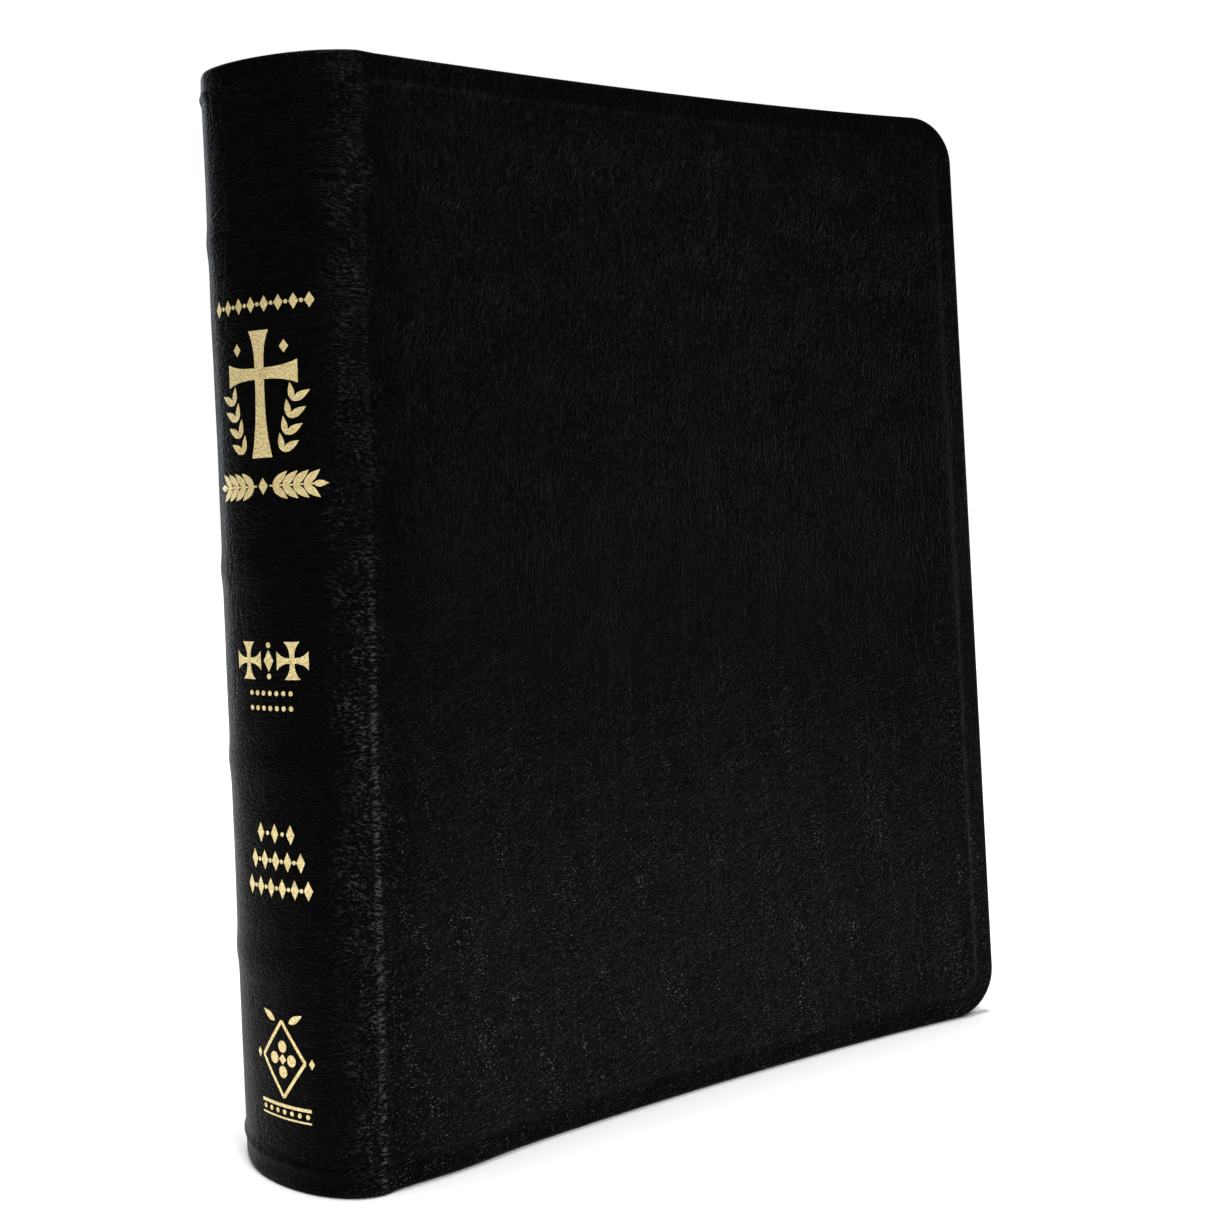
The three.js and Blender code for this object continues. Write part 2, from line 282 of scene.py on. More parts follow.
def closed_sheet(front, back, flip=False):
    """A closed sheet between two grids of points: its points, and the faces of its front, back and edge."""
    columns, rows = front.shape[:2]
    number = np.arange(2 * columns * rows).reshape(2, columns, rows)
    f, b = number
    quads = [np.stack([f[:-1, :-1], f[1:, :-1], f[1:, 1:], f[:-1, 1:]], -1).reshape(-1, 4),
             np.stack([b[:-1, :-1], b[:-1, 1:], b[1:, 1:], b[1:, :-1]], -1).reshape(-1, 4)]
    ring_f = np.concatenate([f[:-1, 0], f[-1, :-1], f[:0:-1, -1], f[0, :0:-1]])
    ring_b = np.concatenate([b[:-1, 0], b[-1, :-1], b[:0:-1, -1], b[0, :0:-1]])
    quads.append(np.stack([ring_f, ring_b, np.roll(ring_b, -1), np.roll(ring_f, -1)], -1))
    if flip:
        quads = [quad[:, ::-1] for quad in quads]
    points = np.concatenate([front.reshape(-1, 3), back.reshape(-1, 3)])
    return points, quads


def graded(low, high, step, edges, ends=(True, True)):
    """Values from low to high: fine ones at the given distances from the chosen ends, then even steps."""
    start = [low + e for e in edges] if ends[0] else [low]
    stop = [high - e for e in reversed(edges)] if ends[1] else [high]
    count = max(1, round((stop[0] - start[-1]) / step))
    middle = list(np.linspace(start[-1], stop[0], count + 1)[1:-1])
    return np.array(start + middle + stop)


# ---- materials ----

class Nodes:
    """A material's node tree, with a short way to add and join nodes."""

    def __init__(self, name):
        self.material = bpy.data.materials.new(name)
        self.material.use_nodes = True
        self.tree = self.material.node_tree
        self.shader = self.tree.nodes["Principled BSDF"]

    def set(self, **sockets):
        """Fixed values on the shader's own sockets."""
        for name, value in sockets.items():
            self.shader.inputs[name.replace("_", " ")].default_value = value

    def add(self, kind, inputs=None, **settings):
        """A node whose inputs are numbers, vectors or other nodes' outputs."""
        made = self.tree.nodes.new(kind)
        for key, value in settings.items():
            setattr(made, key, value)
        for key, value in (inputs or {}).items():
            socket = made.inputs[key]
            if isinstance(value, bpy.types.NodeSocket):
                self.tree.links.new(value, socket)
            else:
                socket.default_value = value
        return made

    def join(self, output, socket):
        """Feeds one of the shader's own sockets."""
        self.tree.links.new(output, self.shader.inputs[socket])

    def math(self, operation, a, b=0.0):
        return self.add("ShaderNodeMath", {0: a, 1: b}, operation=operation).outputs[0]

    def product(self, first, *others):
        """Several values multiplied together."""
        for other in others:
            first = self.math("MULTIPLY", first, other)
        return first

    def distance(self, a, b):
        """How far apart two values are."""
        return self.math("ABSOLUTE", self.math("SUBTRACT", a, b))

    def split(self, vector):
        """The X, Y and Z of a vector."""
        return self.add("ShaderNodeSeparateXYZ", {0: vector}).outputs

    def scaled(self, vector, factor):
        return self.add("ShaderNodeVectorMath", {0: vector, "Scale": factor}, operation="SCALE").outputs[0]

    def surface_mm(self):
        """The surface's own coordinates, in millimetres."""
        return self.scaled(self.add("ShaderNodeUVMap", uv_map="surface").outputs[0], 1 / MM)

    def object_mm(self):
        """The place in the book, in millimetres."""
        return self.scaled(self.add("ShaderNodeTexCoord").outputs["Object"], 1 / MM)

    def stretched(self, vector, stretch, degrees=0.0):
        """Coordinates that draw a pattern turned by some degrees and stretched along its own axes."""
        inputs = {"Vector": vector, "Rotation": (0, 0, math.radians(degrees)), "Scale": stretch}
        return self.add("ShaderNodeMapping", inputs, vector_type="TEXTURE").outputs[0]

    def noise(self, vector, scale, detail, roughness=0.5):
        """A soft random pattern from 0 to 1; the scale is in cells for each unit of the vector."""
        inputs = {"Vector": vector, "Scale": scale, "Detail": detail, "Roughness": roughness}
        return self.add("ShaderNodeTexNoise", inputs).outputs["Fac"]

    def ramp(self, value, low, high, out_low=0.0, out_high=1.0):
        """A soft step from one value to another as the input goes from low to high."""
        inputs = {"Value": value, "From Min": low, "From Max": high, "To Min": out_low, "To Max": out_high}
        return self.add("ShaderNodeMapRange", inputs, interpolation_type="SMOOTHSTEP").outputs[0]

    def mix(self, factor, a, b):
        inputs = {"Factor": factor, "A": a, "B": b}
        return self.add("ShaderNodeMix", inputs, data_type="FLOAT").outputs[0]

    def colour(self, factor, a, b):
        """A mix of two colours; this node's colour sockets can only be told apart by number."""
        made = self.add("ShaderNodeMix", data_type="RGBA")
        for index, value in ((0, factor), (6, a), (7, b)):
            if isinstance(value, bpy.types.NodeSocket):
                self.tree.links.new(value, made.inputs[index])
            else:
                made.inputs[index].default_value = value
        return made.outputs[2]

    def bump(self, height, depth, strength):
        """Tilts the surface by a relief of some depth in millimetres."""
        inputs = {"Height": height, "Distance": depth * MM, "Strength": strength}
        self.join(self.add("ShaderNodeBump", inputs).outputs[0], "Normal")


def thin_lines(n, place, scale, width):
    """Wandering lines where a soft pattern crosses its middle value."""
    return n.ramp(n.distance(n.noise(place, scale, 1.0), 0.5), 0.0, width, 1.0, 0.0)


def ripples(n, place, degrees, length):
    """Leather grain that runs upright, turned by some degrees: fine strokes and a few longer crests."""
    strokes = n.noise(n.stretched(place, (1, length, 1), degrees), 2.1, 1.0)
    crests = thin_lines(n, n.stretched(place, (1, 3 * length, 1), degrees), 0.6, 0.045)
    return n.mix(0.35, n.ramp(strokes, 0.32, 0.86), crests)


def warped(n, place, scale, reach):
    """Coordinates pushed about a little, so that a pattern's lines wander."""
    drift = n.add("ShaderNodeTexNoise", {"Vector": place, "Scale": scale, "Detail": 1.0}).outputs["Color"]
    shift = n.add("ShaderNodeVectorMath", {0: drift, 1: (0.5, 0.5, 0.5)}, operation="SUBTRACT").outputs[0]
    return n.add("ShaderNodeVectorMath", {0: place, 1: n.scaled(shift, reach)}, operation="ADD").outputs[0]


def painted_glints(n, place, across, up):
    """Painted glints in the leather's colour, where light would catch the tops of the grain: specks near the
    tail, strokes and ticks along the joint.
    """
    columns = thin_lines(n, n.stretched(place, (1, 12, 1), -8), 0.14, 0.06)
    grain_tops = n.ramp(n.noise(n.stretched(place, (1.3, 1, 1)), 2.8, 0.0), 0.64, 0.80)
    near_tail = n.ramp(up, 20.0, 150.0, 0.8, 0.0)
    off_spine = n.ramp(across, 0.0, 10.0, 1.0, 0.15)
    specks = n.product(grain_tops, n.mix(columns, 0.4, 1.0), near_tail, off_spine)
    beside_joint = n.ramp(n.distance(across, 3.0), 0.0, 9.0, 0.5, 0.0)
    short_strokes = n.ramp(n.noise(n.stretched(place, (2.0, 1, 1), 10), 1.8, 1.0), 0.50, 0.78)
    patches = n.ramp(n.noise(n.stretched(place, (1, 1.6, 1)), 0.13, 1.0), 0.40, 0.62, 0.25, 1.0)
    strokes = n.product(short_strokes, beside_joint, patches)
    on_joint = n.ramp(n.math("ABSOLUTE", across), 0.2, 1.2, 0.5, 0.0)
    lower_joint = n.ramp(up, 110.0, 150.0, 1.0, 0.3)
    ticks = n.ramp(n.noise(n.stretched(place, (3, 1, 1)), 1.9, 1.0), 0.48, 0.64)
    ridge = n.product(on_joint, lower_joint, ticks)
    glints = n.math("MAXIMUM", n.math("MAXIMUM", specks, strokes), ridge)
    return n.product(glints, n.ramp(up, 60.0, 200.0, 1.0, 0.45))


def painted_light_and_shade(n, across, up):
    """Painted light and shade in the leather's colour and shine: darkest round the spine, darker on the
    ledge, at mid height and towards the fore-edge, lighter towards the tail and the head.
    """
    from_fore_edge = n.math("ADD", across, (FORE_X - JOINT_X) / MM)
    from_head_or_tail = n.math("MINIMUM", up, n.math("SUBTRACT", HEIGHT / MM, up))
    ledge = n.ramp(n.math("MINIMUM", from_fore_edge, from_head_or_tail), 4.5, 7.5, 0.45, 1.0)
    lower_half = n.ramp(up, 20.0, 110.0, 1.0, 0.45)
    upper_half = n.ramp(up, 150.0, 230.0, 1.0, 1.8)
    fore_part = n.ramp(from_fore_edge, 0.0, 100.0, 0.65, 1.0)
    spine = n.ramp(across, -14.0, 1.0, 1.0, 0.3)
    return n.product(ledge, lower_half, upper_half, fore_part, spine)


def leather_material():
    """Black bonded leather: fine ripples, upright near the head, leaning over near the tail and the spine."""
    n = Nodes("black_leather")
    flat = n.surface_mm()
    across, up, _ = n.split(flat)
    place = warped(n, flat, 0.05, 8.0)
    upper = n.ramp(n.split(warped(n, flat, 0.02, 60.0))["Y"], 90.0, 150.0)
    grain = n.mix(upper, ripples(n, place, 66, 3.2), ripples(n, place, -4, 3.0))
    grain = n.mix(n.ramp(across, -4.0, 4.0), grain, ripples(n, place, 84, 3.0))
    pores = n.noise(place, 3.4, 1.0, 0.6)
    broad = n.noise(place, 0.05, 3.0, 0.55)
    veins = thin_lines(n, n.stretched(place, (1, 20, 1), -3), 0.22, 0.02)
    relief = n.product(grain, n.ramp(broad, 0.3, 0.7, 0.75, 1.0))
    relief = n.math("ADD", relief, n.product(pores, 0.08))
    relief = n.math("ADD", relief, n.product(veins, 0.35))
    n.bump(relief, 0.22, 1.0)
    # painted light and shade: the leather's colour and shine made lighter or darker by place
    painted_lightness = painted_light_and_shade(n, across, up)
    # the grain's crests lighter and its hollows darker, partly the leather's own grain and partly painted
    # light and painted shade, scaled by the painted light and shade
    crest_with_painted_light = n.product(n.math("ADD", grain, n.product(veins, 0.2)), painted_lightness)
    skin = n.colour(crest_with_painted_light, LEATHER_DARK, LEATHER_LIGHT)
    # painted glints mixed into the leather's colour
    n.join(n.colour(painted_glints(n, place, across, up), skin, LEATHER_GLINT), "Base Color")
    n.join(n.mix(broad, 0.30, 0.42), "Roughness")
    shine = n.product(n.mix(grain, 0.018, 0.044), n.ramp(painted_lightness, 0.2, 1.0, 0.6, 1.05))
    n.join(shine, "Specular IOR Level")
    return n.material


def gold_foil_material():
    """Stamped gold foil: bright, pressed into the grain, rubbed thin in specks."""
    n = Nodes("gold_foil")
    place = n.object_mm()
    press = n.ramp(n.noise(place, 2.0, 3.0, 0.6), 0.35, 0.65)
    worn = n.ramp(n.noise(place, 3.0, 2.0), 0.60, 0.72)
    n.join(n.colour(worn, n.colour(press, FOIL_DULL, FOIL_BRIGHT), FOIL_WORN), "Base Color")
    n.join(n.mix(press, 0.48, 0.26), "Roughness")
    n.bump(press, 0.07, 0.8)
    n.set(Metallic=0.6)
    return n.material


def gilt_edge_material():
    """Gilded page edges: gold over thousands of leaf edges, in fine lines."""
    n = Nodes("gilt_edge")
    place = n.surface_mm()
    lines = n.noise(n.stretched(place, (50, 0.11, 1)), 1.0, 2.0, 0.6)
    rub = n.noise(place, 0.25, 3.0)
    n.join(n.colour(lines, GILT_DARK, GILT_LIGHT), "Base Color")
    n.join(n.mix(rub, 0.3, 0.48), "Roughness")
    n.bump(lines, 0.05, 0.8)
    n.set(Metallic=0.9)
    return n.material


def sewn_back_material():
    """The glued folds of the pages: paper with rows of thread, gilded at head and tail."""
    n = Nodes("sewn_folds")
    place = n.object_mm()
    up_facing = n.split(n.add("ShaderNodeTexCoord").outputs["Normal"])["Z"]
    gilded = n.ramp(n.math("ABSOLUTE", up_facing), 0.6, 0.7)
    leaves = n.noise(n.stretched(place, (3, 0.14, 50)), 1.0, 2.0)
    threads = n.ramp(n.math("SINE", n.product(n.split(place)["Z"], SEWING)), 0.93, 0.97)
    paper = n.colour(threads, n.colour(leaves, FOLD_SHADED, PAPER_DARK), SEWING_THREAD)
    n.join(n.colour(gilded, paper, n.colour(leaves, GILT_DARK, GILT_LIGHT)), "Base Color")
    n.join(n.product(gilded, 0.8), "Metallic")
    n.join(n.mix(gilded, 0.85, 0.4), "Roughness")
    n.bump(leaves, 0.05, 0.8)
    return n.material


def page_material():
    """Thin ivory paper with two columns of faint lines of print, drawn as broken dashes."""
    n = Nodes("page_paper")
    place = n.surface_mm()
    across, up, _ = n.split(place)
    line = n.product(up, 1 / LINE_PITCH)
    share = n.math("FRACT", line)
    in_line = n.product(n.ramp(share, 0.28, 0.34), n.ramp(share, 0.66, 0.72, 1.0, 0.0))
    row = n.product(n.math("FLOOR", line), LINE_SHIFT)
    word_place = n.add("ShaderNodeCombineXYZ", {"X": across, "Y": row}).outputs[0]
    words = n.ramp(n.noise(word_place, 0.62, 2.0, 0.6), 0.44, 0.5)
    from_column = n.distance(n.distance(across, PRINT_MIDDLE), COLUMN_MIDDLE)
    in_column = n.ramp(from_column, COLUMN_HALF, COLUMN_HALF + PRINT_EDGE, 1.0, 0.0)
    from_middle = n.distance(up, HEIGHT / 2 / MM)
    in_page = n.ramp(from_middle, PRINT_HALF_HEIGHT, PRINT_HALF_HEIGHT + PRINT_EDGE, 1.0, 0.0)
    ink = n.product(in_line, words, in_column, in_page, INK_STRENGTH)
    paper = n.colour(n.noise(place, 0.06, 3.0), PAPER_DARK, PAPER_LIGHT)
    n.join(n.colour(ink, paper, INK), "Base Color")
    n.bump(n.noise(place, 1.3, 3.0), 0.02, 0.5)
    n.set(Roughness=0.78, Specular_IOR_Level=0.3)
    return n.material


def endpaper_material():
    """Black leathery endpaper with a fine laid texture."""
    n = Nodes("endpaper")
    place = n.surface_mm()
    fibre = n.noise(n.stretched(place, (1, 3, 1)), 1.4, 4.0, 0.6)
    n.join(n.colour(fibre, ENDPAPER_DARK, ENDPAPER_LIGHT), "Base Color")
    n.join(n.mix(fibre, 0.6, 0.8), "Roughness")
    n.bump(fibre, 0.04, 0.7)
    n.set(Specular_IOR_Level=0.2)
    return n.material


def card_material():
    """Grey board with pressed fibres."""
    n = Nodes("grey_card")
    fibre = n.noise(n.object_mm(), 0.9, 4.0, 0.65)
    n.join(n.colour(fibre, CARD_DARK, CARD_LIGHT), "Base Color")
    n.bump(fibre, 0.06, 0.8)
    n.set(Roughness=0.9)
    return n.material


def cloth_material():
    """Open starched muslin in a plain weave."""
    n = Nodes("mull_cloth")
    _, across, up = n.split(n.object_mm())
    warp, weft = (n.math("SINE", n.product(along, WEAVE)) for along in (across, up))
    weave = n.ramp(n.product(warp, weft), -0.6, 0.6)
    n.join(n.colour(weave, MUSLIN_DARK, MUSLIN_LIGHT), "Base Color")
    n.bump(weave, 0.12, 0.9)
    n.set(Roughness=0.95)
    return n.material


def band_material():
    """Silk headband: gold thread with a black stripe at every few turns."""
    n = Nodes("headband_silk")
    place = n.surface_mm()
    stripe = n.math("FRACT", n.product(n.split(place)["X"], 1 / STRIPE_PITCH))
    black = n.ramp(stripe, 0.46, 0.52)
    fibre = n.noise(n.stretched(place, (0.16, 1.6, 1)), 1.0, 2.0)
    n.join(n.colour(black, n.colour(fibre, SILK_DARK, SILK_LIGHT), SILK_BLACK), "Base Color")
    n.join(n.mix(fibre, 0.35, 0.6), "Roughness")
    n.set(Sheen_Weight=0.3)
    return n.material


# ---- the leather case ----

def ridge_x(z):
    """Where the soft ridge of the joint runs, which drifts a little from head to tail."""
    return JOINT_X + RIDGE_TAIL + (RIDGE_HEAD - RIDGE_TAIL) * z / HEIGHT


def case_point(side, station, z, depth):
    """A point of the case in plan at a given depth under its outer face.

    A station from 0 to 1 runs over a cover from fore-edge to joint, and from 1 to 3 round the spine, from
    this side's joint to the other's.
    """
    ridge = ridge_x(z)
    on_cover = np.minimum(station, 1.0)
    cover_x = FORE_X + (ridge - FORE_X) * on_cover
    section = SECTION_TAIL + (SECTION_HEAD - SECTION_TAIL) * z / HEIGHT
    angle = (np.maximum(station, 1.0) - 2.0) * math.pi / 2
    across, along = np.sin(angle), np.cos(angle)
    reach = ridge - SPINE_TIP - depth
    half = cover_half(ridge) - depth
    spine_x = ridge - reach * np.abs(along) ** (2 / section)
    spine_y = half * np.sign(across) * np.abs(across) ** (2 / section)
    x = np.where(station <= 1.0, cover_x, spine_x)
    low = 1 - z / HEIGHT
    flare = TAIL_FLARE * low * smooth((cover_x - JOINT_X) / (FORE_X - JOINT_X))
    from_swell = (cover_x - JOINT_X - JOINT_SWELL_MIDDLE) / JOINT_SWELL_SPREAD
    swell = JOINT_SWELL * low * np.exp(-(from_swell ** 2))
    y = np.where(station <= 1.0, -(cover_half(cover_x) + flare + swell - depth), spine_y)
    return x, -side * y


def round_corner(x, z, centre_x, centre_z, sign, radius):
    """Moves one square corner of a grid on to its rounded outline; sign is 1 for an upper corner."""
    a = (x - centre_x) / radius
    b = (z - centre_z) * sign / radius
    inside = (a > NEARLY_ZERO) & (b > NEARLY_ZERO)
    longest = np.maximum(a, b)
    safe = np.where(inside, longest, 1.0)
    turn = np.where(a >= b, b / safe, 2 - a / safe) * math.pi / 4
    return (np.where(inside, centre_x + longest * np.cos(turn) * radius, x),
            np.where(inside, centre_z + sign * longest * np.sin(turn) * radius, z))


def edge_distance(x, z, on_cover):
    """How far a point lies in from the case's cut outline."""
    flat = np.minimum(z, HEIGHT - z)
    fore = np.where(on_cover, FORE_X - x, 1.0)
    a = x - (FORE_X - CORNER_RADIUS)
    b = CORNER_RADIUS - flat
    corner = CORNER_RADIUS - np.hypot(np.maximum(a, 0), np.maximum(b, 0))
    in_corner = on_cover & (a > 0) & (b > 0)
    return np.where(in_corner, corner, np.minimum(flat, fore))


def case_depth(station, z):
    """How thick the case is: leather and board on a cover, one skin on the spine, folded lips at its ends."""
    lip = smooth((LIP_LENGTH - np.minimum(z, HEIGHT - z)) / LIP_END + 0.5)
    spine = SPINE_DEPTH + (LIP_DEPTH - SPINE_DEPTH) * lip
    share = smooth((np.minimum(station, 4 - station) - 1.0) / 0.25)
    return COVER_DEPTH + (spine - COVER_DEPTH) * share


def rounding(distance):
    """How far a face falls back near a rounded edge."""
    inside = np.clip(EDGE_ROUND - distance, 0, EDGE_ROUND)
    return EDGE_ROUND - np.sqrt(EDGE_ROUND ** 2 - inside ** 2)


def case_grid(side, stations, heights):
    """The outer and inner faces of part of the case, as grids of points, with their places on the surface."""
    station, z = np.meshgrid(stations, heights, indexing="ij")
    x, _ = case_point(side, station, z, 0)
    on_cover = station <= 1.0
    cover_x = x
    for low, sign in ((CORNER_RADIUS, -1), (HEIGHT - CORNER_RADIUS, 1)):
        cover_x, z = round_corner(cover_x, z, FORE_X - CORNER_RADIUS, low, sign, CORNER_RADIUS)
    ridge = ridge_x(z)
    station = np.where(on_cover, (cover_x - FORE_X) / (ridge - FORE_X), station)
    distance = edge_distance(cover_x, z, on_cover)
    outer = np.stack([*case_point(side, station, z, 0 * z), z], -1)
    inner = np.stack([*case_point(side, station, z, case_depth(station, z)), z], -1)
    step = np.linalg.norm(np.diff(outer[..., :2], axis=0), axis=-1)
    run = np.concatenate([np.zeros((1, len(heights))), np.cumsum(step, axis=0)])
    first_spine = int(np.argmin(np.abs(stations - 1.0)))
    run = run - run[first_spine]
    return {"outer": outer, "inner": inner, "u": run, "station": station, "distance": distance}


def normals_of(points, side):
    """Outward unit normals of a grid of points."""
    along, up = np.gradient(points, axis=0), np.gradient(points, axis=1)
    normal = np.cross(up, along) * -side
    return normal / np.maximum(np.linalg.norm(normal, axis=-1, keepdims=True), TINY_AREA)


def band_height(station, z):
    """The rise of the raised bands over the spine."""
    rise = sum(np.exp(-(((z - height) / BAND_SPREAD) ** 2)) for height in BAND_HEIGHTS)
    across = smooth((np.minimum(station, 4 - station) - 1.05) / 0.35)
    return BAND_RISE * rise * across


def turn_in_ridge(station, z):
    """The folded leather's inner edge, showing as a low step near the head and tail of the spine."""
    from_end = np.minimum(z, HEIGHT - z)
    ridge = np.exp(-(((from_end - TURN_IN_INSET) / TURN_IN_SPREAD) ** 2))
    return TURN_IN_RISE * ridge * smooth((np.minimum(station, 4 - station) - 0.98) / 0.2)


def slack(x, y, z, from_joint):
    """The leather's own unevenness: broad swells, finer puckers, and creases gathered along the joint."""
    a, b, c = x / MM, y / MM, z / MM
    swell = SWELL_DEPTH * fractal(a * 0.028, b * 0.03, c * 0.022)
    pucker = PUCKER_DEPTH * fractal(a * 0.17, b * 0.17, c * 0.11 + 40)
    near_joint = math.exp(-((from_joint / MM + 2.0) / 8.0) ** 2)
    gather = GATHER_DEPTH * near_joint * fractal(a * 0.09, b * 0.06, c * 0.32 + 80)
    return swell + pucker + gather


def shell(name, side, stations, heights, leather):
    """A closed leather shell: outer face, inner face and the rounded edge that joins them."""
    grid = case_grid(side, stations, heights)
    outer, inner, u = grid["outer"], grid["inner"], grid["u"]
    station, distance, z = grid["station"], grid["distance"], outer[..., 2]
    normal = normals_of(outer, side)
    on_cover = smooth((1.0 - station) / 0.03)
    raised = LEDGE_STEP * smooth((distance - LEDGE_INSET) / LEDGE_WIDTH + 0.5) * on_cover
    rise = band_height(station, z) + turn_in_ridge(station, z)
    puckers = np.vectorize(slack)(outer[..., 0], outer[..., 1], z, u)
    fade = smooth(distance / SLACK_FADE)
    outer = outer + normal * (rise + raised - rounding(distance) + puckers * fade)[..., None]
    inner = inner + normal * rounding(distance)[..., None]
    curl = CURL_DEPTH * np.clip(1 - distance / CURL_REACH, 0, 1) ** 2 * on_cover
    outer = outer - normal * curl[..., None]
    inner = inner - normal * curl[..., None]
    points, quads = closed_sheet(outer, inner, flip=side > 0)
    place = np.stack([u, z], -1).reshape(-1, 2)
    corners = np.concatenate(quads).ravel() % len(place)
    piece = add_mesh(name, points, np.concatenate(quads).tolist(), [leather], corner_uvs=place[corners])
    return piece, {"outer": outer, "normal": normal, "u": u, "z": z}


def bend(piece):
    """Bakes a piece's placement into its mesh."""
    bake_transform(piece)


def leather_case(leather):
    """The case in two pieces: front cover and spine in one, and the back cover from its joint on."""
    edge_steps = [step * MM for step in EDGE_STEPS]
    width = FORE_X - JOINT_X
    covers = np.sort(1 - graded(0, width, COVER_STEP, edge_steps, (False, True)) / width)
    heights = graded(0, HEIGHT, HEIGHT_STEP, edge_steps)
    spine = np.linspace(1, 3, SPINE_STEPS + 1)[1:]
    parts = (("front", -1, spine[:-BACK_LAP], ("front_cover_leather", "spine_leather")),
             ("back", 1, spine[:BACK_LAP], ("back_cover_leather",)))
    surface = None
    for half, side, stations, replaced in parts:
        piece, drawn = shell(f"{half}_case", side, np.concatenate([covers, stations]), heights, leather)
        bend(piece)
        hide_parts(*replaced)
        surface = surface or drawn
    return surface


# ---- pages and endpapers ----

def leaf_grid(near_x, far_x, low_z, high_z, radius):
    """Places over one leaf: fine near the fold, with its two fore-edge corners rounded."""
    bent = np.linspace(near_x, near_x + PAGE_BEND, BEND_STEPS)
    flat = np.linspace(near_x + PAGE_BEND, far_x - radius, FLAT_STEPS)[1:]
    ends = radius * np.linspace(0, 1, CORNER_STEPS)
    x = np.concatenate([bent, flat, far_x - radius + ends[1:]])
    z = np.concatenate([low_z + ends, high_z - ends[::-1]])
    x, z = np.meshgrid(x, z, indexing="ij")
    for low, sign in ((low_z + radius, -1), (high_z - radius, 1)):
        x, z = round_corner(x, z, far_x - radius, low, sign, radius)
    return x, z


def leaf_stack(name, side, layers, materials):
    """A stack of closed sheets, one for each (grid, outer y, inner y); faces take material 0, edges 1."""
    points, faces, indices, uvs = [], [], [], []
    count = 0
    for (x, z), outer_y, inner_y in layers:
        outer = np.stack([x, side * outer_y, z], -1)
        inner = np.stack([x, side * inner_y, z], -1)
        sheet, quads = closed_sheet(outer, inner, flip=side > 0)
        edge = len(quads[2])
        flat = np.stack([sheet[:, 0] - GUTTER_X, sheet[:, 2]], -1)
        thick = np.stack([sheet[:, 0] + sheet[:, 2], sheet[:, 1]], -1)
        every = np.concatenate(quads)
        points.append(sheet)
        faces.append(every + count)
        indices += [0] * (len(every) - edge) + [1] * edge
        uvs += [flat[every[:-edge]].reshape(-1, 2), thick[every[-edge:]].reshape(-1, 2)]
        count += len(sheet)
    return add_mesh(name, np.concatenate(points), np.concatenate(faces).tolist(), materials,
                    indices, np.concatenate(uvs))


def section(half, side, number, paper, gilt):
    """One section of pages: bundles of leaves whose cut edges don't quite line up."""
    chance = random.Random(f"{half} {number}")
    outer_share = (SECTIONS + 1 - number) / SECTIONS
    layers = []
    for i in range(BUNDLES):
        top = outer_share - i / (SECTIONS * BUNDLES)
        bottom = top - 1 / (SECTIONS * BUNDLES)
        far = PAGE_FORE_X - FORE_EDGE_HOLLOW * (1 - top * top) + chance.uniform(*UNEVEN_FORE)
        low = PAGE_LOW + chance.uniform(0, UNEVEN_END)
        high = PAGE_HIGH - chance.uniform(0, UNEVEN_END)
        x, z = leaf_grid(FOLDS_X, far, low, high, PAGE_CORNER)
        half_thick = page_half(x)
        layers.append(((x, z), half_thick * top - SLIT / 2, half_thick * bottom + SLIT / 2))
    piece = leaf_stack(f"{half}_pages_{number}", side, layers, [paper, gilt])
    bend(piece)
    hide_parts(f"{half}_section_{number}")


def flyleaf(half, side, paper):
    """The loose endpaper on the pages."""
    x, z = leaf_grid(GUTTER_X, PAGE_FORE_X, PAGE_LOW, PAGE_HIGH, PAGE_CORNER)
    near, far = FLYLEAF_LAYERS
    layers = [((x, z), page_half(x) + far, page_half(x) + near)]
    piece = leaf_stack(f"{half}_loose_endpaper", side, layers, [paper, paper])
    bend(piece)
    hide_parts(f"{half}_flyleaf")


def lining(half, side, paper):
    """The endpaper pasted inside a cover, with its hinge strip running down to the pages' fold."""
    edge = LINING_INSET
    x, z = leaf_grid(GUTTER_X, FORE_X - edge, edge, HEIGHT - edge, PAGE_CORNER)
    root = page_half(GUTTER_X) + FLYLEAF_LAYERS[1] + LINING_CLEARANCE
    strip = 1 - smooth((x - GUTTER_X) / LINING_STRIP)
    faces = []
    for depth in LINING_LAYERS:
        on_cover = cover_half(x) - depth
        at_root = root + LINING_LAYERS[1] - depth
        faces.append(on_cover + (at_root - on_cover) * strip)
    piece = leaf_stack(f"{half}_lining", side, [((x, z), *faces)], [paper, paper])
    bend(piece)
    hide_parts(f"{half}_pastedown")


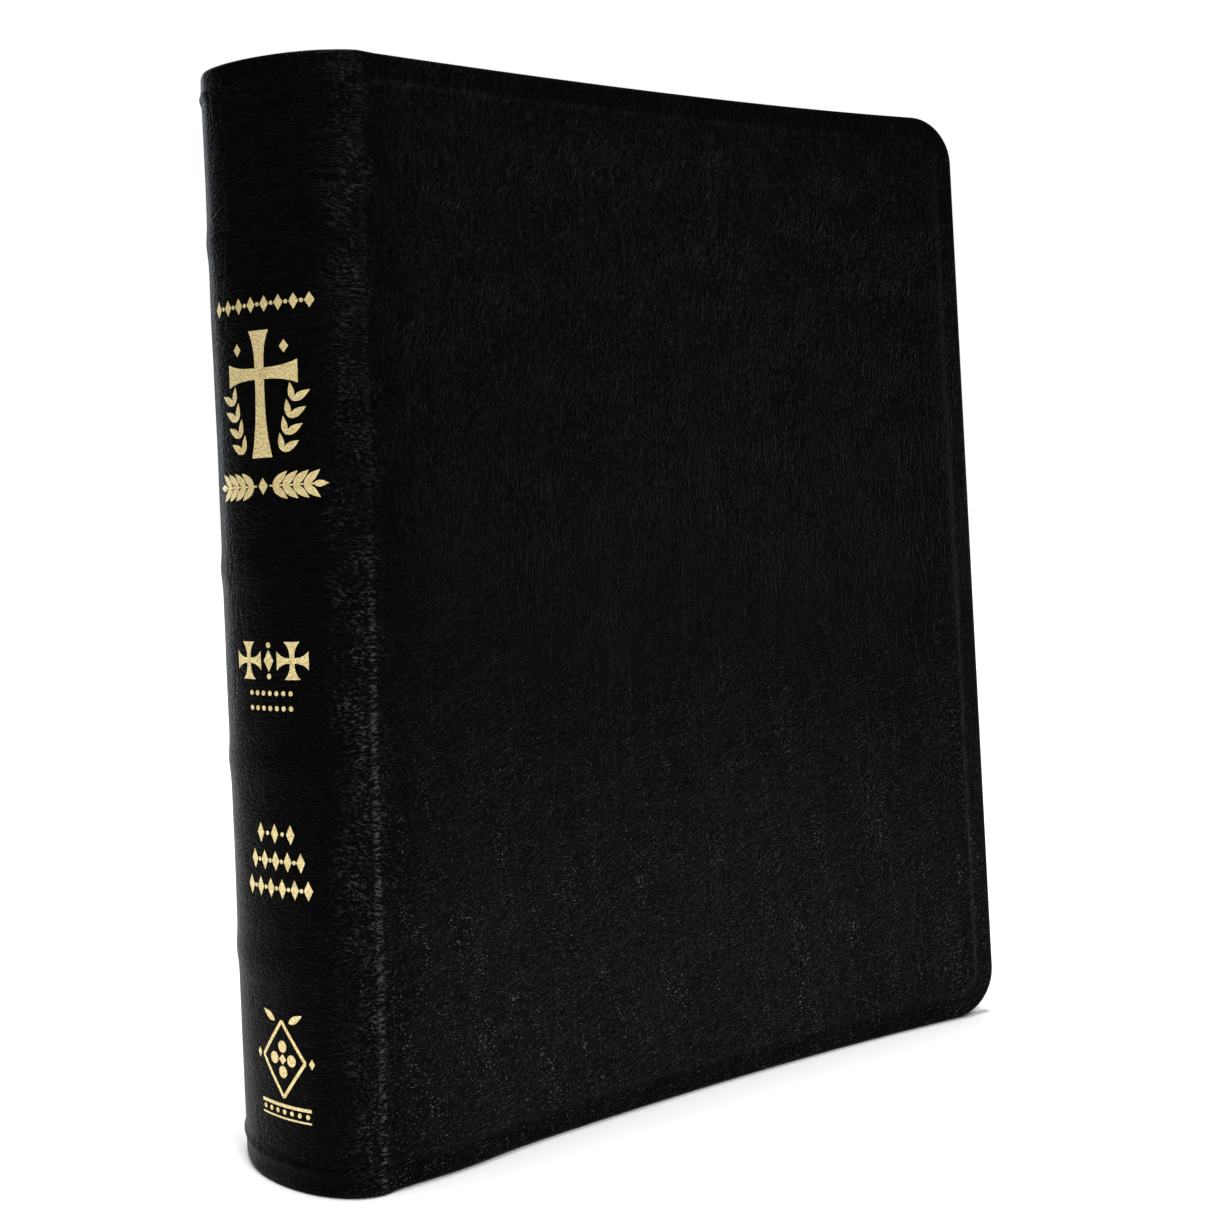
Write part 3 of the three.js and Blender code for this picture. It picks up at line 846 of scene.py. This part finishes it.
def sewn_band(name, node, silk):
    """A headband: silk wound round a cord along the rounded back of the pages."""
    low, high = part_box(node)
    radius = (high.z - low.z) / 2
    reach, half = JOINT_X - low.x - radius, high.y - radius
    length = math.pi * (reach + half) / 2
    turns = length / THREAD_PITCH
    points, uvs = [], []
    for i in range(SILK_STEPS + 1):
        share = i / SILK_STEPS
        angle = math.pi * (share - 0.5)
        centre = Vector((JOINT_X - reach * math.cos(angle), half * math.sin(angle), (low.z + high.z) / 2))
        outward = Vector((-math.cos(angle) * half, math.sin(angle) * reach, 0)).normalized()
        for j in range(SILK_SIDES):
            turn = 2 * math.pi * j / SILK_SIDES
            relief = THREAD_RELIEF * (1 - math.cos(2 * math.pi * turns * share + turn))
            spoke = outward * math.cos(turn) + Vector((0, 0, 1)) * math.sin(turn)
            points.append(centre + spoke * radius * (1 - relief))
            uvs.append((length * share, turn * radius))
    rings = np.arange(len(points)).reshape(SILK_STEPS + 1, SILK_SIDES)
    after = np.roll(rings, -1, axis=1)
    faces = np.stack([rings[:-1], after[:-1], after[1:], rings[1:]], -1).reshape(-1, 4).tolist()
    faces += [rings[0, ::-1].tolist(), rings[-1].tolist()]
    corners = [uvs[corner] for face in faces for corner in face]
    piece = add_mesh(name, points, faces, [silk], corner_uvs=corners)
    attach(piece, SPINE)
    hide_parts(node)


# ---- gold tooling on the spine ----

def turned(points, x, y, degrees):
    """An outline drawn along +X, turned by some degrees and moved to (x, y)."""
    a = math.radians(degrees)
    return [(x + along * math.cos(a) - across * math.sin(a), y + along * math.sin(a) + across * math.cos(a))
            for along, across in points]


def disc(x, y, radius):
    """A round dot."""
    angles = np.linspace(0, 2 * math.pi, DISC_SIDES, endpoint=False)
    return [(x + radius * math.cos(a), y + radius * math.sin(a)) for a in angles]


def bar(x, y, width, height):
    """A straight rule."""
    return [(x - width / 2, y - height / 2), (x + width / 2, y - height / 2),
            (x + width / 2, y + height / 2), (x - width / 2, y + height / 2)]


def lozenge(x, y, width, height):
    """A diamond."""
    return [(x - width / 2, y), (x, y - height / 2), (x + width / 2, y), (x, y + height / 2)]


def leaf(x, y, length, width, degrees):
    """A pointed leaf that grows from (x, y) in the given direction."""
    steps = np.linspace(0, 1, 9)
    swell = width / 2 * np.sin(math.pi * steps ** 0.8)
    along = np.concatenate([steps, steps[-2:0:-1]]) * length
    across = np.concatenate([swell, -swell[-2:0:-1]])
    return turned(zip(along, across), x, y, degrees)


def flared_arm(x, y, length, narrow, wide, degrees):
    """One arm of a cross, widening to its end in a hollow curve."""
    steps = np.linspace(0, 1, 8)
    swell = narrow / 2 + (wide - narrow) / 2 * steps ** 3
    points = [*zip(steps * length, swell)]
    points += [(along, -across) for along, across in reversed(points)]
    return turned(points, x, y, degrees)


def quatrefoil(x, y, size):
    """Four dots round a lozenge."""
    dots = [disc(x + size * 0.36 * math.cos(a), y + size * 0.36 * math.sin(a), size * 0.17)
            for a in np.arange(4) * math.pi / 2]
    return [*dots, lozenge(x, y, size * 0.3, size * 0.3)]


def lozenge_group(x, y, size):
    """A lozenge with a dot above and below."""
    dots = [disc(x, y + sign * size * 0.72, size * 0.13) for sign in (-1, 1)]
    return [lozenge(x, y, size * 0.6, size), *dots]


def bead_row(y, width, height, pitch):
    """A row of lozenges with a dot between each two."""
    count = round(width / pitch)
    shapes = []
    for i in range(count + 1):
        x = -width / 2 + width * i / count
        shapes.append(lozenge(x, y, pitch * 0.62, height))
        if i < count:
            shapes.append(disc(x + width / count / 2, y, pitch * 0.13))
    return shapes


def spray(y, width, leaf_length):
    """Two stems of paired leaves growing outwards from a middle lozenge."""
    shapes = [lozenge(0, y, 2.6, 3.6)]
    for sign, ahead in ((-1, 180), (1, 0)):
        shapes.append(bar(sign * (width / 4 + 0.8), y, width / 2 - 2.0, 0.4))
        for i in range(4):
            x = sign * (2.6 + i * (width / 2 - 4.4) / 3.4)
            for lean in (38, -38):
                shapes.append(leaf(x, y, leaf_length, leaf_length * 0.36, ahead + sign * lean))
        shapes.append(leaf(sign * (width / 2 - 0.6), y, leaf_length * 0.7, leaf_length * 0.3, ahead))
    return shapes


def tall_cross(y, height, width):
    """A Latin cross with flared arms between two upright branches of leaves."""
    centre = y + height * 0.16
    shapes = [flared_arm(0, centre, height * 0.34, 2.4, 5.4, 90)]
    shapes.append(flared_arm(0, centre, height * 0.66, 2.4, 5.6, 270))
    shapes += [flared_arm(0, centre, width / 2, 2.4, 5.0, turn) for turn in (0, 180)]
    for sign in (-1, 1):
        for i in range(4):
            x = sign * (5.4 + i * 0.9)
            low = y - height * 0.46 + i * height * 0.13
            shapes.append(leaf(x, low, 4.6, 1.7, 90 - sign * 62))
            shapes.append(leaf(x, low, 4.0, 1.5, 90 + sign * 8))
        shapes.append(lozenge(sign * 6.4, centre + height * 0.2, 2.2, 2.8))
    return shapes


def small_cross(x, y, size):
    """A cross of four equal flared arms."""
    return [flared_arm(x, y, size / 2, size * 0.14, size * 0.5, turn) for turn in (0, 90, 180, 270)]


def stroke(start, end, width):
    """A straight line of some width between two places."""
    (x0, y0), (x1, y1) = start, end
    length = math.hypot(x1 - x0, y1 - y0)
    dx, dy = -(y1 - y0) / length * width / 2, (x1 - x0) / length * width / 2
    return [(x0 - dx, y0 - dy), (x1 - dx, y1 - dy), (x1 + dx, y1 + dy), (x0 + dx, y0 + dy)]


def diamond_ornament(y, size):
    """A quatrefoil in a diamond frame, over a rule and a row of dots."""
    middle = y + size * 0.13
    corners = lozenge(0, middle, size * 0.6, size * 0.74)[::-1]
    shapes = [stroke(a, b, size * 0.035) for a, b in zip(corners, corners[1:] + corners[:1])]
    shapes += quatrefoil(0, middle, size * 0.34)
    shapes += [lozenge(sign * size * 0.38, middle, size * 0.07, size * 0.1) for sign in (-1, 1)]
    shapes += [leaf(sign * size * 0.1, middle + size * 0.36, size * 0.2, size * 0.07, 90 - sign * 62)
               for sign in (-1, 1)]
    shapes += [bar(0, y - size * 0.32, size * 0.72, 0.7), bar(0, y - size * 0.44, size * 0.72, 0.4)]
    shapes += [disc((i - 3) * size * 0.105, y - size * 0.38, size * 0.024) for i in range(7)]
    return shapes


def on_spine(surface, u, z):
    """The point of the drawn leather and its normal at a place given by the surface's own coordinates."""
    heights = surface["z"][-1]
    row = np.searchsorted(heights, z) - 1
    rise = (z - heights[row]) / (heights[row + 1] - heights[row])
    runs = surface["u"][:, row]
    column = np.searchsorted(runs, u) - 1
    share = (u - runs[column]) / (runs[column + 1] - runs[column])

    def blend_of(grid):
        low = grid[column, row] * (1 - share) + grid[column + 1, row] * share
        high = grid[column, row + 1] * (1 - share) + grid[column + 1, row + 1] * share
        return low * (1 - rise) + high * rise

    return Vector(blend_of(surface["outer"])), Vector(blend_of(surface["normal"])).normalized()


def foil(name, surface, shapes, height, gold):
    """Flat shapes, in millimetres round their middle, pressed on to the spine as thin foil."""
    flat = bmesh.new()
    for outline in shapes:
        corners = [flat.verts.new((x, y, 0)) for x, y in outline]
        flat.faces.new(corners)
    bmesh.ops.triangulate(flat, faces=flat.faces[:])
    reach = max(max(abs(x), abs(y)) for outline in shapes for x, y in outline)
    for cut in np.arange(-math.floor(reach), math.floor(reach) + 1, FOIL_CELL):
        for normal in ((1, 0, 0), (0, 1, 0)):
            everything = flat.verts[:] + flat.edges[:] + flat.faces[:]
            place = Vector(normal) * cut
            bmesh.ops.bisect_plane(flat, geom=everything, plane_co=place, plane_no=normal, dist=TOUCHING)
    bottom = flat.faces[:]
    lifted = bmesh.ops.extrude_face_region(flat, geom=bottom)
    top = {item for item in lifted["geom"] if isinstance(item, bmesh.types.BMVert)}
    for vert in flat.verts:
        point, normal = on_spine(surface, TOOLING_MIDDLE - vert.co.x * MM, height + vert.co.y * MM)
        vert.co = point + normal * (FOIL_RISE if vert in top else -FOIL_ROOT)
    bmesh.ops.recalc_face_normals(flat, faces=flat.faces[:])
    mesh = bpy.data.meshes.new(name)
    flat.to_mesh(mesh)
    flat.free()
    mesh.materials.append(gold)
    piece = add_object(name, mesh)
    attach(piece, SPINE)


def tooling(surface, gold):
    """The gold on the spine: plain ornaments, no words, each at its height in millimetres over the tail."""
    crosses = [*small_cross(-6.3, 0, 8), *small_cross(6.3, 0, 8), *lozenge_group(0, 0, 4.6)]
    dots = [disc(i * 1.9, y, 0.55) for y in (1.6, -1.6) for i in range(-3, 4)]
    rows = [bead_row(y, width, 4.2, 3.6) for y, width in ((5.8, 9), (0, 14), (-5.8, 17.5))]
    ornaments = (("foil_upper_beads", 187.5, bead_row(0, width=25, height=3.4, pitch=3.6)),
                 ("foil_cross", 168.5, tall_cross(0, height=27, width=19)),
                 ("foil_spray", 149, spray(0, width=26, leaf_length=4.8)),
                 ("foil_crosses", 112, crosses),
                 ("foil_dots", 103.5, dots),
                 ("foil_rows", 69.5, sum(rows, [])),
                 ("foil_diamond", 24.5, diamond_ornament(0, size=22)))
    for name, height, shapes in ornaments:
        foil(name, surface, shapes, height * MM, gold)


def spine_strip(name, node, layers, low, high, card):
    """A strip of card under the spine's leather, from joint to joint."""
    heights = np.linspace(low, high, max(2, round((high - low) / CARD_STEP)))
    station, z = np.meshgrid(CARD_STATIONS, heights, indexing="ij")
    faces = [np.stack([*case_point(-1, station, z, depth), z], -1) for depth in layers]
    points, quads = closed_sheet(*faces)
    piece = add_mesh(name, points, np.concatenate(quads).tolist(), [card])
    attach(piece, SPINE)
    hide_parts(node)


def spine_cards(card):
    """The card that stiffens the spine, and a narrow card under each raised band."""
    end = LIP_LENGTH + CARD_GAP
    spine_strip("spine_card", "spine_inlay", SPINE_CARD, end, HEIGHT - end, card)
    for i, middle in enumerate(BAND_HEIGHTS, 1):
        low, high = middle - BAND_SPREAD, middle + BAND_SPREAD
        spine_strip(f"band_card_{i}", f"raised_band_{i}", BAND_CARD, low, high, card)


def finish_kept_parts(card, cloth, folds):
    """Gives every CAD part that stays its own material."""
    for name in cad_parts:
        if name == "hollow_tube" or name.endswith("_board"):
            finish = card
        elif name == "mull_cloth":
            finish = cloth
        elif name == "sewn_back":
            finish = folds
        else:
            continue
        mesh = bpy.data.objects[name].data
        mesh.materials.clear()
        mesh.materials.append(finish)


# ---- lights, camera and floor ----

def set_camera():
    """The camera at the photograph's viewing angle: close and level, in front and to the spine's left."""
    data = bpy.data.cameras.new("camera")
    camera = add_object("camera", data)
    sight = Vector((math.sin(CAMERA_AZIMUTH), math.cos(CAMERA_AZIMUTH), 0))
    forward = sight * math.cos(CAMERA_PITCH) + Vector((0, 0, math.sin(CAMERA_PITCH)))
    turn = forward.to_track_quat("-Z", "Y").to_matrix() @ Matrix.Rotation(CAMERA_ROLL, 3, "Z")
    camera.matrix_world = Matrix.Translation(CAMERA_PLACE) @ turn.to_4x4()
    data.sensor_width = 36
    data.lens = CAMERA_LENS
    data.shift_y = CAMERA_SHIFT
    data.clip_start = 0.01
    bpy.context.scene.camera = camera


def set_surroundings():
    """White to the camera's eye, and a faint even light for everything else."""
    world = bpy.data.worlds.new("studio")
    bpy.context.scene.world = world
    world.use_nodes = True
    tree = world.node_tree
    background = tree.nodes["Background"]
    path = tree.nodes.new("ShaderNodeLightPath")
    level = tree.nodes.new("ShaderNodeMapRange")
    level.inputs["To Min"].default_value = AMBIENT
    level.inputs["To Max"].default_value = 1.0
    tree.links.new(path.outputs["Is Camera Ray"], level.inputs["Value"])
    tree.links.new(level.outputs[0], background.inputs["Strength"])
    background.inputs["Color"].default_value = (1, 1, 1, 1)


def area_light(name, place, target, size, power, colour=(1, 1, 1)):
    """A soft rectangular light that faces its target."""
    data = bpy.data.lights.new(name, "AREA")
    data.shape = "RECTANGLE"
    data.size, data.size_y = size
    data.energy = power
    data.color = colour
    light = add_object(name, data)
    light.location = place
    light.rotation_mode = "QUATERNION"
    light.rotation_quaternion = (Vector(target) - Vector(place)).to_track_quat("-Z", "Y")


def set_light():
    """Soft light from behind and above, with a little from each side to pick out the grain."""
    bpy.context.scene.view_settings.view_transform = "Standard"
    area_light("behind", place=(0.6, 1.6, 1.2), target=(0, 0.1, 0), size=(1.8, 1.2), power=10)
    area_light("left", place=(-0.45, 2.1, 0.6), target=(0, 0, 0.12), size=(0.8, 1.8), power=13,
               colour=(0.84, 0.92, 1.0))
    area_light("right", place=(2.4, -0.92, 0.08), target=(0, 0, 0.1), size=(0.4, 0.4), power=16)
    area_light("above", place=(-0.1, -0.8, 1.0), target=(0, 0, 0.1), size=(0.25, 0.25), power=6)
    overhead = bpy.data.lights.new("overhead", "SUN")
    overhead.energy = 3.7
    overhead.angle = math.radians(25)
    add_object("overhead", overhead)


def lay_floor():
    """A plain pale floor under the book."""
    mesh = bpy.data.meshes.new("floor")
    corners = [(x * FLOOR_HALF, y * FLOOR_HALF, 0) for x, y in ((-1, -1), (1, -1), (1, 1), (-1, 1))]
    mesh.from_pydata(corners, [], [(0, 1, 2, 3)])
    n = Nodes("floor")
    n.set(Base_Color=FLOOR_PALE, Roughness=0.9)
    mesh.materials.append(n.material)
    piece = add_object("floor", mesh)
    piece.location.z = -FLOOR_GAP


set_camera()
set_surroundings()
set_light()
lay_floor()

surface = leather_case(leather_material())
tooling(surface, gold_foil_material())
PAPER, GILT, ENDPAPER = page_material(), gilt_edge_material(), endpaper_material()
for half, side in HALVES:
    for number in range(1, SECTIONS + 1):
        section(half, side, number, PAPER, GILT)
    flyleaf(half, side, ENDPAPER)
    lining(half, side, ENDPAPER)
SILK = band_material()
sewn_band("head_silk", "head_band", SILK)
sewn_band("tail_silk", "tail_band", SILK)
CARD = card_material()
spine_cards(CARD)
finish_kept_parts(CARD, cloth_material(), sewn_back_material())
